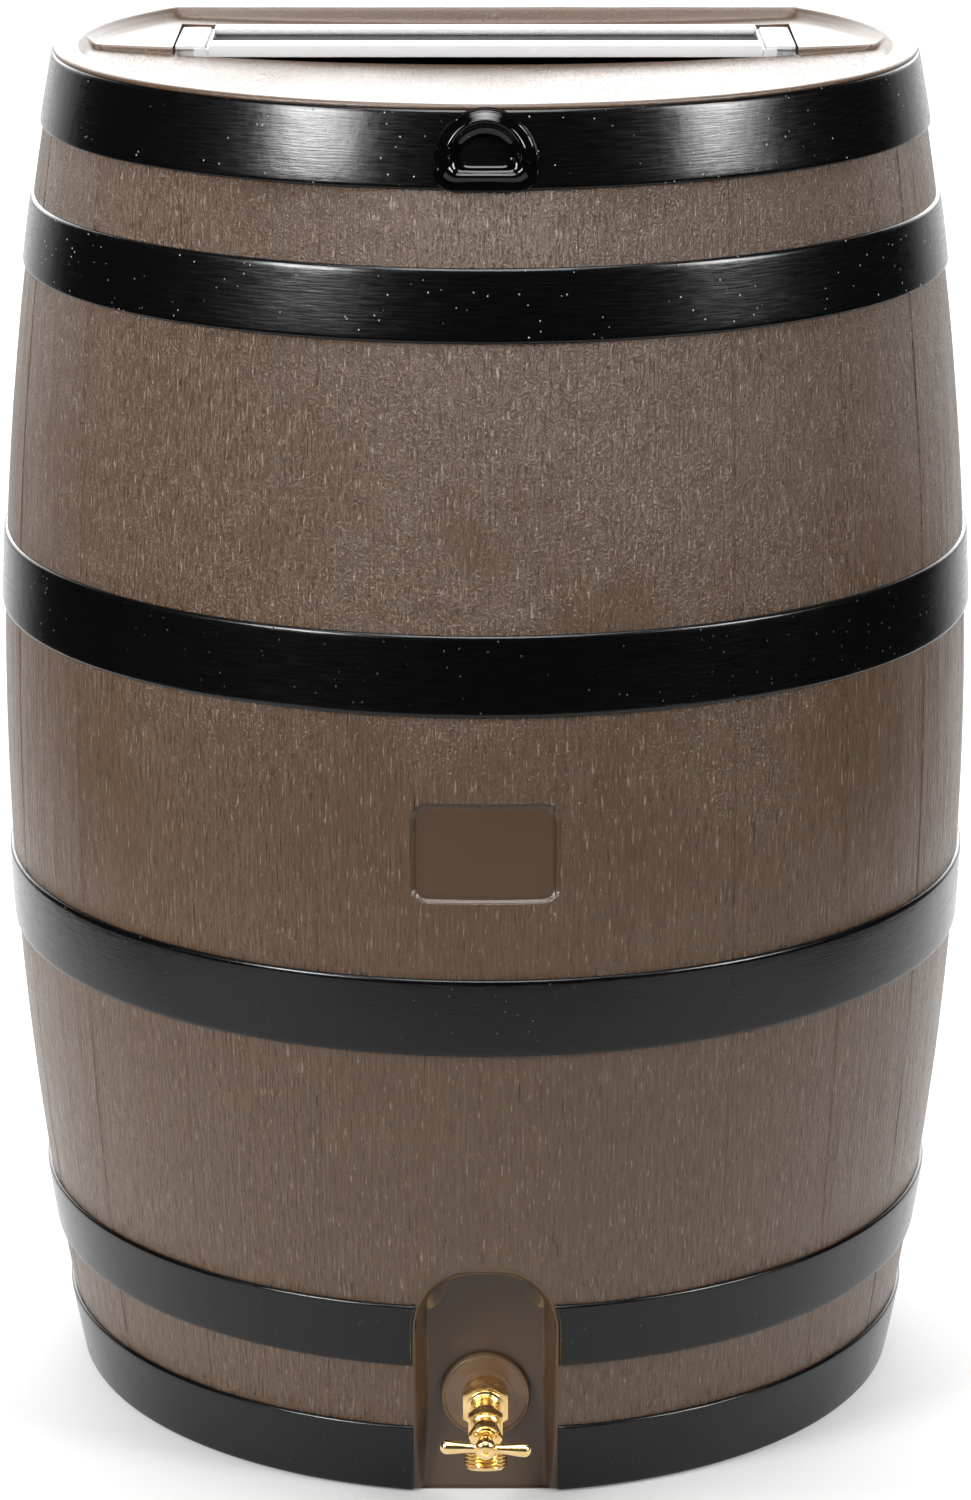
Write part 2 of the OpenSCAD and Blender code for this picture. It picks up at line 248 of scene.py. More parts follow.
def shader(name, base, roughness, metallic=0.0, ior=1.5):
    """A new Principled material; returns (material, node tree, Principled node)."""
    material = bpy.data.materials.new(name)
    material.use_nodes = True
    bsdf = material.node_tree.nodes["Principled BSDF"]
    bsdf.inputs["Base Color"].default_value = rgb(*base)
    for key, value in (("Roughness", roughness), ("Metallic", metallic), ("IOR", ior)):
        bsdf.inputs[key].default_value = value
    return material, material.node_tree, bsdf


def put(tree, kind, inputs=None, **settings):
    """Adds a node; an input is given a number, a colour or another node's output."""
    made = tree.nodes.new("ShaderNode" + kind)
    for key, value in settings.items():
        setattr(made, key, value)
    for key, value in (inputs or {}).items():
        if isinstance(value, bpy.types.NodeSocket):
            tree.links.new(value, made.inputs[key])
        else:
            made.inputs[key].default_value = value
    return made


def surface(tree, bsdf, colour, roughness, height, strength, depth):
    """Gives a Principled node its colour, roughness and relief."""
    bump = put(tree, "Bump", {"Height": height, "Strength": strength, "Distance": depth})
    for key, value in (("Base Color", colour), ("Roughness", roughness), ("Normal", bump.outputs[0])):
        tree.links.new(value, bsdf.inputs[key])


def object_place(tree):
    return put(tree, "TexCoord").outputs["Object"]


def along(tree, axis):
    """The object's own X, Y or Z."""
    return put(tree, "SeparateXYZ", {0: object_place(tree)}).outputs[axis]


def math_node(tree, operation, a, b):
    return put(tree, "Math", {0: a, 1: b}, operation=operation).outputs[0]


def plus(tree, a, b):
    return math_node(tree, "ADD", a, b)


def times(tree, a, b):
    return math_node(tree, "MULTIPLY", a, b)


def scaled(tree, vector, *cells):
    """A vector divided by a cell size along each axis, or by one size along all three."""
    cells = cells * 3 if len(cells) == 1 else (*cells, 1)[:3]
    scale = tuple(1 / c for c in cells)
    return put(tree, "Mapping", {"Vector": vector, "Scale": scale}).outputs[0]


def noise_at(tree, vector, cells, detail=2.0, roughness=0.5, distortion=0.0):
    """Noise whose grains have the size of the cells, from 0 to 1."""
    made = put(tree, "TexNoise", {"Vector": scaled(tree, vector, *cells), "Scale": 1.0, "Detail": detail,
        "Roughness": roughness, "Distortion": distortion})
    return made.outputs["Fac"]


def ranged(tree, value, low, high, to_low=0.0, to_high=1.0):
    made = put(tree, "MapRange", {"Value": value, "From Min": low, "From Max": high,
        "To Min": to_low, "To Max": to_high})
    return made.outputs[0]


def mix_colour(tree, factor, a, b):
    return put(tree, "Mix", {0: factor, 6: a, 7: b}, data_type="RGBA").outputs[2]


# ---------- Materials ----------

def wood_plastic(name):
    """Brown moulded plastic: pressed woodgrain where the grain mask is on, smooth elsewhere; painted glints
    on the grain, and painted shade in the smooth recesses.
    """
    material, tree, bsdf = shader(name, (0.08, 0.05, 0.03), 0.3, ior=1.52)
    uv = put(tree, "UVMap", uv_map="grain").outputs[0]
    mask = put(tree, "Attribute", attribute_name="grain_and_shade_mask").outputs["Fac"]
    up = along(tree, "Z")

    broad = noise_at(tree, uv, (0.11, 0.16), 3.0, 0.55)
    streak = noise_at(tree, uv, (0.0019, 0.045), 3.0, 0.6, 0.15)
    short = noise_at(tree, uv, (0.0015, 0.011), 2.0, 0.55, 0.3)
    pore = ranged(tree, short, 0.59, 0.69)
    pebble = noise_at(tree, uv, (0.0017, 0.0023), 2.0, 0.65, 0.8)
    # Pebbled patches lie high on the barrel, between long runs of plain grain; they also carry the painted
    # glints
    patches = ranged(tree, broad, 0.36, 0.70, 0.16, 0.85)
    pebble_zone = times(tree, patches, ranged(tree, up, 0.42, 0.66, 0.25, 1.0))
    crack = ranged(tree, noise_at(tree, uv, (0.0028, 0.05), 1.0, 0.5, 0.4), 0.765, 0.785)

    grain_depth = ranged(tree, up, 0.30, 0.70, 0.55, 1.0)
    height = plus(tree, times(tree, streak, 0.55), times(tree, short, 0.35))
    height = plus(tree, height, times(tree, pore, -0.30))
    height = times(tree, height, grain_depth)
    height = plus(tree, height, times(tree, pebble, times(tree, pebble_zone, 0.95)))
    height = plus(tree, height, times(tree, crack, -0.8))
    fine = noise_at(tree, uv, (0.0009, 0.0009), 2.0, 0.5)
    height = plus(tree, times(tree, height, mask), times(tree, fine, 0.06))

    tone = ranged(tree, broad, 0.32, 0.68)
    colour = mix_colour(tree, tone, rgb(0.078, 0.043, 0.022), rgb(0.087, 0.049, 0.026))
    stripe = noise_at(tree, uv, (0.012, 0.5), 2.0, 0.5)
    # Painted glints: a pale colour on the pebbles and on the fine grain lines, stronger high on the barrel
    painted_glint = times(tree, ranged(tree, pebble, 0.60, 0.68, 0.0, 0.60), pebble_zone)
    line = times(tree, ranged(tree, short, 0.37, 0.30, 0.0, 0.60), grain_depth)
    # Each layer is a share of its colour laid over what is below it
    layers = (
        (ranged(tree, stripe, 0.35, 0.65, 0.0, 0.35), (0.075, 0.047, 0.029)),
        (times(tree, ranged(tree, streak, 0.50, 0.75, 0.0, 0.40), mask), (0.175, 0.118, 0.080)),
        # Painted highlight: pale glints on the pebbles and grain lines
        (times(tree, math_node(tree, "MAXIMUM", painted_glint, line), mask), (0.40, 0.31, 0.235)),
        (times(tree, times(tree, pore, mask), 0.32), (0.040, 0.025, 0.016)),
        (times(tree, times(tree, crack, mask), 0.75), (0.022, 0.014, 0.009)),
        # The smooth areas are darker than the pressed grain: painted shade in the alcove and the label's
        # recess, and the rim and the deck behind the hole are darkened a little too
        (ranged(tree, mask, 0.0, 0.3, 0.16, 0.0), (0.02, 0.013, 0.009)))
    for share, shade in layers:
        colour = mix_colour(tree, share, colour, rgb(*shade))
    surface(tree, bsdf, colour, ranged(tree, broad, 0.3, 0.7, 0.33, 0.27), height, 1.0, 3.4 * MM)
    return material


def black_paint(name, smooth_rough, dull_rough, relief):
    """Gloss black paint with faint drag lines round the barrel and raised specks, whose pale colour is a
    painted glint, stronger high up.
    """
    black = (0.0015, 0.0015, 0.0017)
    material, tree, bsdf = shader(name, black, smooth_rough, ior=1.4)
    uv = put(tree, "UVMap", uv_map="grain").outputs[0]
    drag = noise_at(tree, uv, (0.020, 0.0011), 3.0, 0.6)
    wave = noise_at(tree, uv, (0.010, 0.012), 2.0, 0.5)
    cells = put(tree, "TexVoronoi", {"Vector": scaled(tree, uv, 0.0062, 0.0062), "Scale": 1.0})
    patch = ranged(tree, noise_at(tree, uv, (0.06, 0.05)), 0.42, 0.54)
    speck_and_glint = times(tree, ranged(tree, cells.outputs["Distance"], 0.10, 0.06), patch)
    height = plus(tree, times(tree, drag, 0.16), times(tree, wave, 0.30))
    height = plus(tree, height, times(tree, speck_and_glint, 0.9))
    # Painted glints: the raised specks turn pale, more strongly high on the barrel
    shown = times(tree, speck_and_glint, ranged(tree, along(tree, "Z"), 0.55, 0.72, 0.06, 0.75))
    colour = mix_colour(tree, shown, rgb(*black), rgb(0.62, 0.60, 0.57))
    rough = ranged(tree, drag, 0.3, 0.7, smooth_rough, dull_rough)
    surface(tree, bsdf, colour, rough, height, relief, 0.4 * MM)
    return material


def brass():
    material, tree, bsdf = shader("brass", (0.87, 0.64, 0.30), 0.2, 1.0)
    broad = noise_at(tree, object_place(tree), (0.012,), 3.0)
    fine = noise_at(tree, object_place(tree), (0.0006,))
    colour = mix_colour(tree, ranged(tree, broad, 0.3, 0.7), rgb(0.92, 0.70, 0.36), rgb(0.80, 0.54, 0.21))
    surface(tree, bsdf, colour, ranged(tree, broad, 0.3, 0.7, 0.16, 0.30), fine, 0.25, 0.1 * MM)
    return material


def plain(name, base, roughness, cell, depth=0.1 * MM):
    """A moulded or extruded surface with a little mottle in colour, gloss and relief."""
    material, tree, bsdf = shader(name, base, roughness)
    broad = noise_at(tree, object_place(tree), (cell * 12,), 3.0)
    fine = noise_at(tree, object_place(tree), (cell,))
    colour = mix_colour(tree, broad, rgb(*(c * 0.94 for c in base)), rgb(*(c * 1.06 for c in base)))
    rough = ranged(tree, broad, 0.3, 0.7, roughness * 0.85, roughness * 1.15)
    surface(tree, bsdf, colour, rough, fine, 0.4, depth)
    return material


shell_material = wood_plastic("barrel_plastic")
paint_material = black_paint("hoop_paint", 0.15, 0.27, 0.85)
bezel_material = black_paint("bezel_paint", 0.05, 0.09, 0.25)
brass_material = brass()
fitting_material = plain("fitting_plastic", (0.135, 0.082, 0.048), 0.22, 3 * MM, 0.2 * MM)
rail_material = plain("rail_enamel", (0.56, 0.56, 0.56), 0.25, 4 * MM)
cap_material = plain("cap_plastic", (0.50, 0.50, 0.51), 0.3, 2 * MM)
mesh_material = plain("mesh_fibre", (0.035, 0.035, 0.035), 0.6, 1 * MM)
spline_material = plain("spline_vinyl", (0.26, 0.26, 0.26), 0.45, 1 * MM)
seal_material = plain("seal_rubber", (0.015, 0.015, 0.015), 0.6, 1 * MM)

# ---------- Barrel outline ----------

# Columns near the middle stand at fixed places, close together at the alcove's and label's edges
mid_half = np.concatenate([np.arange(0, 33.9, 1.0), np.arange(34, 47, 0.5), np.arange(47, 61, 1.3)]) * MM
MID_X = np.concatenate([-mid_half[:0:-1], mid_half])
CORNER_COLUMNS = 8
BACK_COLUMNS = 40


def side_steps():
    """Shares of the way from the middle columns to the corner, closer together at each stave's edge."""
    start, end = math.degrees(math.asin(MID_X[-1] / BELLY_R)), 120
    per_degree = math.radians(BELLY_R / MM)
    steps = list(np.linspace(start, end, 210))
    for degrees in SEAM_DEGREES:
        for mm in (-2.4, -1.6, -1.0, -0.6, -0.25, 0.1, 0.4, 0.8, 1.4, 2.2):
            steps.append(abs(degrees) + mm / per_degree)
    steps = np.unique(np.round([a for a in steps if start < a < end - 1] + [end], 4))
    return (steps - start) / (end - start)


SIDE_T = side_steps()
SIDE_COLUMNS = len(SIDE_T)


def corner_place(r, back, corner):
    """Where the round front meets a back corner: the corner centre's x, and the angle from the front."""
    corner_x = math.sqrt((r - corner) ** 2 - (back - corner) ** 2)
    return corner_x, math.atan2(corner_x, corner - back)


def ring(r, back, corner):
    """The barrel's D outline as (x, y) points and their outward normals, front first."""
    corner_x, tangent = corner_place(r, back, corner)
    middle = np.arcsin(MID_X / r)
    side = middle[-1] + (tangent - middle[-1]) * SIDE_T
    arc = np.concatenate([-side[::-1], middle, side])
    turn = np.linspace(tangent, math.pi, CORNER_COLUMNS + 1)[1:]
    flat_x = np.linspace(corner_x, -corner_x, BACK_COLUMNS + 1)[1:-1]
    right = np.stack([corner_x + corner * np.sin(turn), back - corner - corner * np.cos(turn)], -1)
    left = right[::-1] * (-1, 1)
    flat = np.stack([flat_x, np.full(len(flat_x), back)], -1)
    points = np.concatenate([np.stack([r * np.sin(arc), -r * np.cos(arc)], -1), right, flat, left])
    angles = np.concatenate([arc, turn, np.full(len(flat_x), math.pi), -turn[::-1]])
    normals = np.stack([np.sin(angles), -np.cos(angles)], -1)
    return points, normals


ARC_COLUMNS = 2 * SIDE_COLUMNS + len(MID_X)
outline, _ = ring(stave_r(MID), BACK, CORNER_R)
steps = np.linalg.norm(np.roll(outline, -1, 0) - outline, axis=1)
run = np.concatenate([[0], np.cumsum(steps)])
OUTLINE_U = run - run[ARC_COLUMNS // 2]


def label_distance(x, z):
    """Distance outside the label's rounded rectangle, negative inside it."""
    qx = np.abs(x) - LABEL_HALF[0] + LABEL_R
    qz = np.abs(z - LABEL_Z) - LABEL_HALF[1] + LABEL_R
    outside = np.hypot(np.maximum(qx, 0), np.maximum(qz, 0))
    return outside + np.minimum(np.maximum(qx, qz), 0) - LABEL_R


def seam_depth(u, z):
    """How deep the joints between staves are, as a share, along the outline and up it."""
    depth = np.zeros(np.broadcast(u, z).shape)
    for number, degrees in enumerate(SEAM_DEGREES):
        centre = math.radians(degrees) * stave_r(MID)
        wander = 0.7 * MM * value_noise(z, 0 * z, 0.12, 1, 40 + number)
        strength = 0.6 + 0.4 * value_noise(z, 0 * z, 0.05, 1, 80 + number)
        depth = depth + strength * np.exp(-((u - centre - wander) / (0.85 * MM)) ** 2)
    return depth


def stave_lift(u):
    """Each stave stands a little in or out of its neighbours."""
    edges = np.radians(SEAM_DEGREES) * stave_r(MID)
    lifts = np.random.default_rng(3).uniform(-0.35, 0.35, len(edges) + 1) * MM
    lift = np.full(np.shape(u), lifts[0])
    for edge, before, after in zip(edges, lifts[:-1], lifts[1:]):
        lift = lift + (after - before) * smooth((u - edge) / (3 * MM) + 0.5)
    return lift


def wood_relief(u, z):
    """How far the pressed woodgrain stands out, in metres."""
    warp = 3 * MM * value_noise(u, z, 0.09, 0.16, 11)
    long_grain = value_noise(u + warp, z, 0.0058, 0.075, 12)
    short_grain = value_noise(u + warp, z, 0.0034, 0.03, 13)
    swell = value_noise(u, z, 0.05, 0.13, 14)
    return (0.16 * long_grain + 0.10 * short_grain + 0.22 * swell) * MM + stave_lift(u)


def outer_rows():
    """Heights of the shell's rows, closer together at the label's edges and the alcove's crown."""
    dense = [(LABEL_Z - LABEL_HALF[1], 3, 0.6), (LABEL_Z + LABEL_HALF[1], 3, 0.6), (133 * MM, 26, 0.7)]
    rows = [3 * MM]
    while rows[-1] < HEIGHT - 6.5 * MM:
        step = 3.2
        for centre, reach, fine in dense:
            if abs(rows[-1] + fine * MM - centre) < reach * MM:
                step = fine
        rows.append(rows[-1] + step * MM)
    return np.array([0.0, 0.4 * MM, 1.4 * MM] + rows + [HEIGHT - 3 * MM])


def alcove_share(x, z, grow=0.0):
    """0 on the alcove's floor and 1 outside its lip, which is wider round the crown."""
    above = z - (ALCOVE_TOP - ALCOVE_CORNER)
    over = np.maximum(above, 0)
    aside = np.maximum(np.abs(x) - (ALCOVE_HALF - ALCOVE_CORNER), 0)
    distance = np.where(above < 0, np.abs(x) - ALCOVE_HALF, np.hypot(aside, above) - ALCOVE_CORNER) - grow
    upward = over / np.maximum(np.hypot(aside, over), 1e-6)
    return distance / (ALCOVE_RUN + ALCOVE_CROWN_RUN * upward ** 2)


def alcove_pull(x, y, z, floor_y, grow=0.0):
    blend = smooth(alcove_share(x, z, grow))
    return np.where(y < floor_y, floor_y + (y - floor_y) * blend, y)


def deck_z(x, y):
    share = (x * x + y * y) / FLOOR_R ** 2
    front = HEIGHT - FRONT_DECK[0] + (FRONT_DECK[0] - FRONT_DECK[1]) * share
    rear = HEIGHT - REAR_DECK[0] + (REAR_DECK[0] - REAR_DECK[1]) * share
    return front + (rear - front) * smooth((y - HOLE_FRONT) / (1.4 * MM))


def inside(points, edge, margin):
    """Which (x, y) points are inside the D outline of the edge's points by at least a margin."""
    x, y = np.abs(points[:, 0]), points[:, 1]
    front_r, back = -edge[:, 1].min(), edge[:, 1].max()
    corner_x = math.sqrt(max(front_r ** 2 - back ** 2, 0)) - CORNER_R - margin
    in_round = (x * x + y * y < (front_r - margin) ** 2) & (y < back - margin)
    return in_round & ~((y > back - CORNER_R) & (x > corner_x))


def seam_points(hole):
    """Points beside the hole, close together where the deck steps up along the hole's front edge."""
    x0, x1, y0, _ = hole
    reach = 1.5 * MM
    xs = np.concatenate([np.arange(x0 - reach, -FLOOR_R, -4 * MM), np.arange(x1 + reach, FLOOR_R, 4 * MM)])
    return np.array([(x, y0 + d * MM) for x in xs for d in (-0.3, 0.0, 0.4, 0.8, 1.2, 1.6)])


def inner_points(edge, spacing, hole):
    """Points to fill a D outline with, on a square lattice that leaves room for the hole."""
    low = edge.min(0)[:2] + spacing / 2
    high = edge.max(0)[:2]
    gx, gy = np.meshgrid(np.arange(low[0], high[0], spacing), np.arange(low[1], high[1], spacing))
    inner = np.stack([gx.ravel(), gy.ravel()], -1)
    inner = inner[inside(inner, edge, spacing * 0.6)]
    if hole is None:
        return inner
    x0, x1, y0, y1 = hole
    seam = seam_points(hole)
    clear = inner[np.abs(inner[:, 1] - y0 - 0.6 * MM) > 2.6 * MM]
    inner = np.concatenate([clear, seam[inside(seam, edge, 1 * MM)]])
    x, y, margin = inner[:, 0], inner[:, 1], 2 * MM
    outside = (x < x0 - margin) | (x > x1 + margin) | (y < y0 - margin) | (y > y1 + margin)
    beside = (np.abs(x) > x1 + 1 * MM) & (np.abs(y - y0) < 3 * MM)
    return inner[outside | beside]


def fill(builder, boundary, edge, z_of, hole=None, spacing=7 * MM, up=True, mask=None):
    """Fills a closed ring with triangles, round a hole; returns the hole's point indices and places."""
    hole_points = [] if hole is None else rectangle(*hole, 6 * MM)
    count, n_hole = len(edge), len(hole_points)
    places = [Vector(p) for p in (*edge[:, :2], *hole_points, *inner_points(edge, spacing, hole))]
    hole_edges = [(count + i, count + (i + 1) % n_hole) for i in range(n_hole)]
    made = delaunay_2d_cdt(places, hole_edges, [list(range(count))], 1, 1e-7, True)
    new, faces, origin = np.array([tuple(p) for p in made[0]]), made[2], made[3]
    on_edge = np.array([bool(source) and min(source) < count for source in origin])
    points = np.column_stack([new, z_of(new[:, 0], new[:, 1])])[~on_edge]
    index = np.zeros(len(new), int)
    index[~on_edge] = builder.add(points, mask(points[:, 1]) if mask else 0.0)
    hole_index = np.zeros(n_hole, int)
    for k, source in enumerate(origin):
        if on_edge[k]:
            index[k] = boundary[min(source)]
        for number in source:
            if count <= number < count + n_hole:
                hole_index[number - count] = index[k]
    faces = np.array([list(f) for f in faces if len(f) == 3])
    if hole is not None:
        x0, x1, y0, y1 = hole
        x, y = new[faces].mean(1).T
        faces = faces[~((x > x0) & (x < x1) & (y > y0) & (y < y1))]
    a, b, c = new[faces[:, 0]], new[faces[:, 1]], new[faces[:, 2]]
    turn = (b[:, 0] - a[:, 0]) * (c[:, 1] - a[:, 1]) - (b[:, 1] - a[:, 1]) * (c[:, 0] - a[:, 0])
    wrong = (turn < 0) if up else (turn > 0)
    faces[wrong] = faces[wrong][:, ::-1]
    # Two metres along, so that the grain doesn't repeat the wall's
    builder.triangles(index[faces], new[faces] + (0.0, 2.0))
    return hole_index, np.array(hole_points)


def rectangle(x0, x1, y0, y1, spacing):
    """Points round a rectangle, anticlockwise seen from above, close together at the front of its sides."""
    nx = max(1, round((x1 - x0) / spacing))
    ny = max(1, round((y1 - y0) / spacing))
    near = [y0 + d * MM for d in (0.4, 0.8, 1.2, 1.6)]
    across = [(x0 + (x1 - x0) * i / nx, y0) for i in range(nx)]
    right = [(x1, y0)] + [(x1, y) for y in near] + [(x1, y0 + (y1 - y0) * i / ny) for i in range(1, ny)]
    back = [(x1 - (x1 - x0) * i / nx, y1) for i in range(nx)]
    left = [(x0, y1 - (y1 - y0) * i / ny) for i in range(ny)] + [(x0, y) for y in near[::-1]]
    return across + right + back + left


def block(b, low, high):
    """A closed box between two corners."""
    sides = ((low[0], low[1]), (high[0], low[1]), (high[0], high[1]), (low[0], high[1]))
    k = b.add([(x, y, z) for z in (low[2], high[2]) for x, y in sides], 0.0)
    quads = [(3, 2, 1, 0), (4, 5, 6, 7), (0, 1, 5, 4), (1, 2, 6, 5), (2, 3, 7, 6), (3, 0, 4, 7)]
    b.faces.append(k[np.array(quads)])
    b.uvs.append(np.zeros((6, 4, 2)))


def level(points, z):
    return np.column_stack([points, np.full(len(points), z)])


def wall_row(z):
    """One row of the outside wall and its grain mask, which also sets the painted shade: woodgrain, the
    label's recess and the alcove.
    """
    foot_r = 3 * MM
    foot = (1 - math.sqrt(1 - (1 - min(z, foot_r) / foot_r) ** 2)) * foot_r
    points, normals = ring(stave_r(z), BACK, CORNER_R)
    x, y = points[:, 0], points[:, 1]
    u = OUTLINE_U[:-1]
    front = y < 0
    label = label_distance(x, z)
    lip = alcove_share(x, z)
    smooth_area = front & ((lip < 1) | (label < 1 * MM))
    grain = np.where(smooth_area, 0.0, np.where(front, smooth(2 * lip - 2), 1.0))
    relief = grain * (wood_relief(u, z) - SEAM_DEPTH * seam_depth(u, z))
    relief = relief * np.where(np.arange(len(x)) < ARC_COLUMNS, 1.0, BACK_RELIEF)
    recess = np.where(front & (label < 6 * MM), smooth(0.5 - label / (1.2 * MM)), 0.0)
    out = relief - LABEL_DEPTH * recess - foot - (0.5 * MM if z > HEIGHT - 4 * MM else 0)
    x = x + normals[:, 0] * out
    y = y + normals[:, 1] * out
    y = np.where(front, alcove_pull(x, y, z, -ALCOVE_Y), y)
    return level(np.column_stack([x, y]), z), grain * (0.6 if z < 4 * MM else 1.0)


def rim_rows():
    """Rows over the rim and down its inside to the edge of the dished deck."""
    rows = []
    # In mm: how far in from the rim's outside and back, and down; then how far out from its inside, and down
    outer = [(0.4, 0, -2.9), (0, 0, -2.2), (0.5, 0.5, -0.7), (2, 2, 0), (6, 4, 0)]
    inner = [(5, 4, 0), (2, 2, 0), (0.6, 0.6, -0.5), (0, 0, -1.8)]
    rim = [(RIM_R - a * MM, BACK - b * MM, drop) for a, b, drop in outer]
    rim += [(RIM_IN_R + a * MM, RIM_IN_BACK + b * MM, drop) for a, b, drop in inner]
    u = OUTLINE_U[:-1]
    for r, back, drop in rim:
        points, _ = ring(r, back, max(CORNER_R - (RIM_R - r), 3 * MM))
        wave = 0.12 * MM * value_noise(u, u * 0 + r * 50, 0.05, 1, 21) if drop == 0 else 0 * u
        rows.append(np.column_stack([points, HEIGHT + drop * MM + wave]))
    edge_z = HEIGHT - 1.8 * MM
    for inset, share in ((0.25, 0.25), (0.5125, 0.6), (0.775, 0.86), (1.075, 0.97), (1.45, 1.0)):
        r = RIM_IN_R - (RIM_IN_R - FLOOR_R) * inset
        back = RIM_IN_BACK - (RIM_IN_BACK - FLOOR_BACK) * inset
        points, _ = ring(r, back, 5 * MM)
        z = edge_z + (deck_z(points[:, 0], points[:, 1]) - edge_z) * share
        rows.append(np.column_stack([points, z]))
    return rows


def deck_mask(y):
    """The grain is strong in front of the hole and faint behind it."""
    return np.where(y < HOLE_FRONT + 0.1 * MM, 0.75, 0.06)


def make_outside(b, hole):
    """The wall, rim, deck and floor seen from outside; returns the hole's edge as indices and places."""
    walls = [wall_row(z) for z in outer_rows()]
    rims = rim_rows()
    rows = np.array([row for row, _ in walls] + rims)
    masks = [mask for _, mask in walls] + [np.full(rows.shape[1], 0.12)] * len(rims)
    index = np.array([b.add(row, mask) for row, mask in zip(rows, masks)])
    u_grid = np.broadcast_to(OUTLINE_U, (len(rows), len(OUTLINE_U)))
    rise = np.abs(np.diff(rows[:, ARC_COLUMNS // 3], axis=0)).sum(1)
    v_grid = np.broadcast_to(np.concatenate([[0], np.cumsum(rise)])[:, None], u_grid.shape)
    b.grid(index, np.stack([u_grid, v_grid], -1), closed=True)
    fill(b, index[0], rows[0], lambda x, y: 0 * x, spacing=25 * MM, up=False)
    return fill(b, index[-1], rows[-1], deck_z, hole, mask=deck_mask)


def make_inside(b, hole, under):
    """The tank's inside, up to the underside of the deck; returns the hole's lower edge."""
    rings, liner = [], []
    for z in np.linspace(WALL, HEIGHT - 28 * MM, 24):
        points, _ = ring(stave_r(z) - WALL, BACK - WALL, 9 * MM)
        x, y = points[:, 0], points[:, 1]
        y = np.where(y < 0, alcove_pull(x, y, z, WALL - ALCOVE_Y, WALL), y)
        rings.append(level(np.column_stack([x, y]), z))
        liner.append(b.add(rings[-1], 0.0))
    b.tube(liner[::-1])
    fill(b, liner[0], rings[0], lambda x, y: 0 * x + WALL, spacing=25 * MM)
    return fill(b, liner[-1], rings[-1], lambda x, y: 0 * x + under, hole, 12 * MM, up=False)[0]


def make_shell():
    b = Builder()
    hole = (-HOLE_HALF, HOLE_HALF, HOLE_FRONT, HOLE_BACK)
    under = HEIGHT - 26 * MM
    edge, edge_xy = make_outside(b, hole)
    # The hole's sides go down to the underside of the deck, past a ledge at each end
    shelf = b.add(level(edge_xy, SCREEN_Z - 1 * MM), 0.0)
    foot = b.add(level(edge_xy, under), 0.0)
    b.tube([foot, shelf, edge])
    b.tube([make_inside(b, hole, under), foot])
    # Ledges that carry the screen's ends
    for side in (-1, 1):
        x = sorted((side * LEDGE_X, side * (HOLE_HALF + 1 * MM)))
        block(b, (x[0], HOLE_FRONT - 1 * MM, under + 2 * MM), (x[1], HOLE_BACK + 1 * MM, SCREEN_Z - 0.1 * MM))
    stand_for(b.build("moulded_shell", 70, outward=False), "barrel", "wood_brown", shell_material,
        "barrel_shell", "barrel_deck", "barrel_alcove")


make_shell()

# ---------- Hoops ----------

HOOP_SINK = 1.6 * MM
# A hoop fades out over this angle before the flat back, and is rounded this far in from the alcove
HOOP_FADE = 0.35
HOOP_END = 2.6 * MM


def hoop_profile(low, high):
    """Rows of (height, how far proud) round a hoop's section, up its face."""
    # The rounded edge in mm: how far up from the hoop's side, and how far proud
    edge = [(0.0, 0.0), (0.05, 0.9), (0.35, 1.6), (0.9, 2.15), (1.7, 2.42), (3.2, 2.5)]
    middle = [(low + (high - low) * t, HOOP_PROUD) for t in np.linspace(0.16, 0.84, 9)]
    bottom = [(low + z * MM, p * MM) for z, p in edge]
    top = [(high - z * MM, p * MM) for z, p in reversed(edge)]
    return [(low, -HOOP_SINK)] + bottom + middle + top + [(high, -HOOP_SINK)]


def hoop_half(low, high, side, split, seed):
    """One half of a hoop, from the middle (or from the alcove's side) to the flat back's corner."""
    rows, columns_u = [], []
    for z, proud in hoop_profile(low, high):
        r = stave_r(z)
        corner_x, tangent = corner_place(r, BACK, CORNER_R)
        start_x = 0.0
        if split:
            across = np.arange(30, 60, 0.05) * MM
            start_x = across[alcove_share(across, np.full_like(across, z)) > 1.0].min() + 0.5 * MM
        start = math.asin(start_x / r)
        t = np.linspace(0, 1, 261)
        if split:
            t = np.concatenate([[0, 0.0003, 0.0012, 0.0025, 0.0045], t[2:]])
        arc = start + (tangent - start) * t
        turn = np.linspace(tangent, math.pi, 8)[1:-1]
        x = np.concatenate([r * np.sin(arc), corner_x + CORNER_R * np.sin(turn)])
        y = np.concatenate([-r * np.cos(arc), BACK - CORNER_R - CORNER_R * np.cos(turn)])
        angle = np.concatenate([arc, turn])
        u = BELLY_R * angle
        rise = np.clip((angle[-1] - angle) / HOOP_FADE, 0, 1) ** 0.5
        if split:
            into = (x - start_x) / HOOP_END
            rise = rise * np.sqrt(np.clip(1 - (1 - np.clip(into, 0, 1)) ** 2, 0, 1))
        wave = 0.10 * MM * value_noise(u, u * 0 + z, 0.045, 0.02, seed)
        out = np.where(proud > 0, proud * rise + wave * min(proud / HOOP_PROUD, 1) * rise, proud)
        out = np.where((proud >= 0) & (rise < 0.02), -HOOP_SINK * 0.4, out)
        x = x + np.sin(angle) * out
        y = y - np.cos(angle) * out
        rows.append(level(np.column_stack([side * x, y]), z))
        columns_u.append(side * u)
    return np.array(rows), np.array(columns_u)


